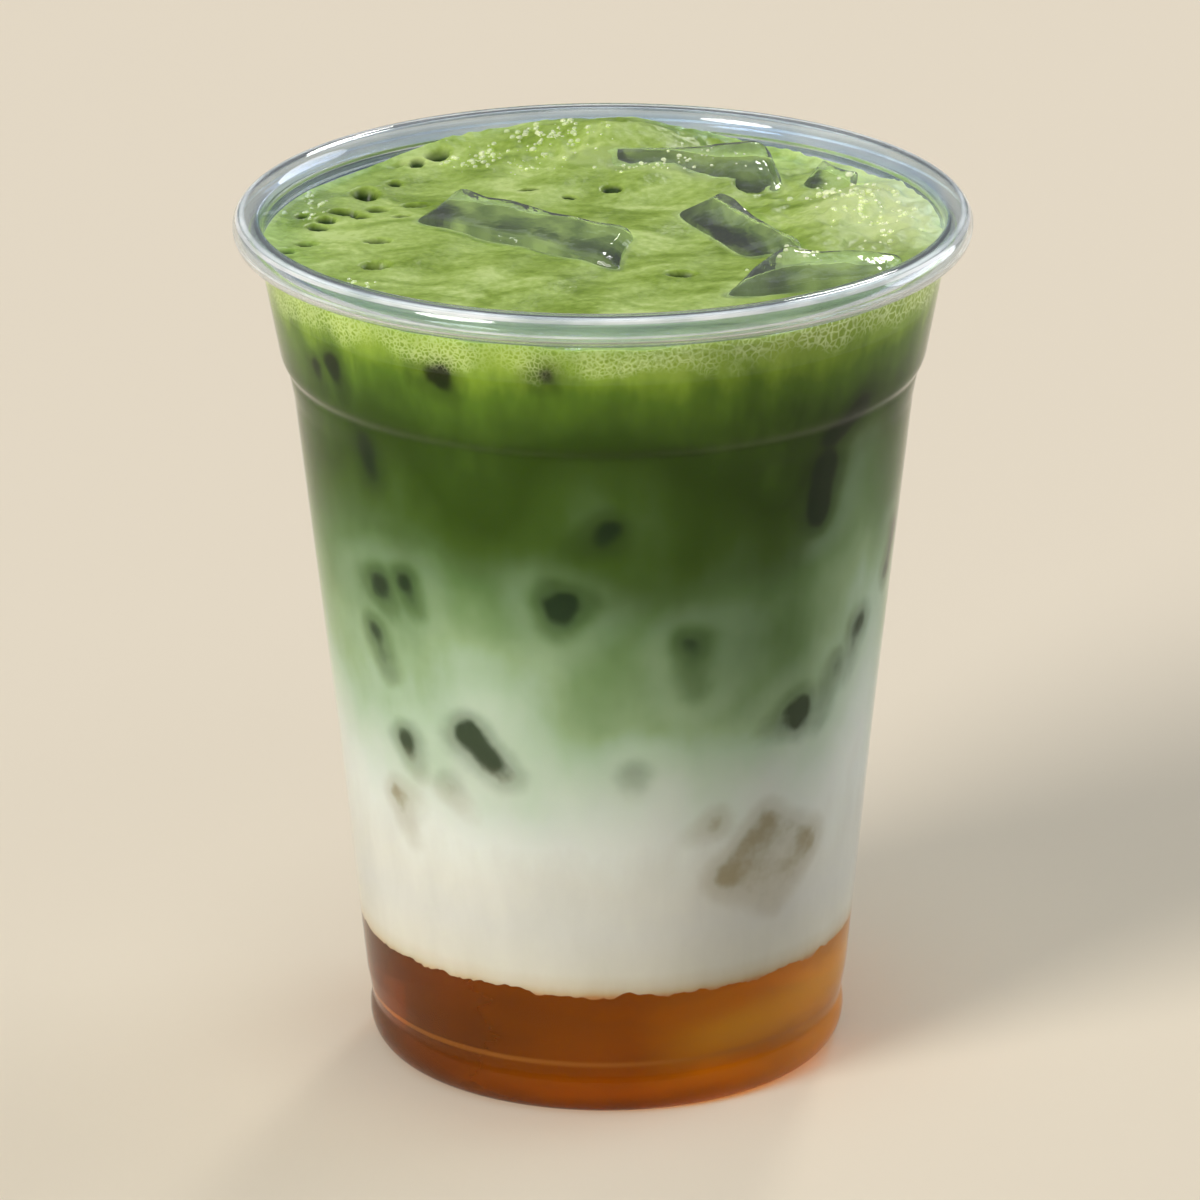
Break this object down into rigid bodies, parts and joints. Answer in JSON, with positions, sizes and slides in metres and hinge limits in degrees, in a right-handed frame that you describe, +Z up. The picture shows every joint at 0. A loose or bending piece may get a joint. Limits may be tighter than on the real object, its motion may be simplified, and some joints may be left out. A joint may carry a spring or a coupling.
{
  "type": "iced matcha latte in a clear plastic cup",
  "caption": "Iced matcha latte in a clear plastic cold cup: amber syrup, milk, marbled matcha and froth in layers, with ice pieces at the top.",
  "frame": {"origin": "middle of the cup's foot ring, on the surface that it stands on", "axes": "+Z up along the cup's axis, -Y towards the side that the picture shows"},
  "size_m": [0.098, 0.098, 0.1174],
  "materials": {
    "cup": "clear blown and trimmed PET sheet, glossy",
    "syrup": "amber syrup, clear and wet",
    "milk": "cold milk, smooth and wet",
    "matcha_milk": "milk marbled with matcha, smooth and wet",
    "matcha": "whisked matcha tea, smooth and wet",
    "foam": "fine matcha froth with popped bubbles",
    "ice": "clear wet ice"
  },
  "bodies": {
    "root": {"cup": "cup", "syrup": "syrup", "milk": "milk", "matcha_milk": "matcha_milk", "matcha": "matcha", "foam": "foam", "ice_left": "ice", "ice_back": "ice", "ice_middle": "ice", "ice_front": "ice", "ice_corner": "ice"}
  },
  "joints": []
}
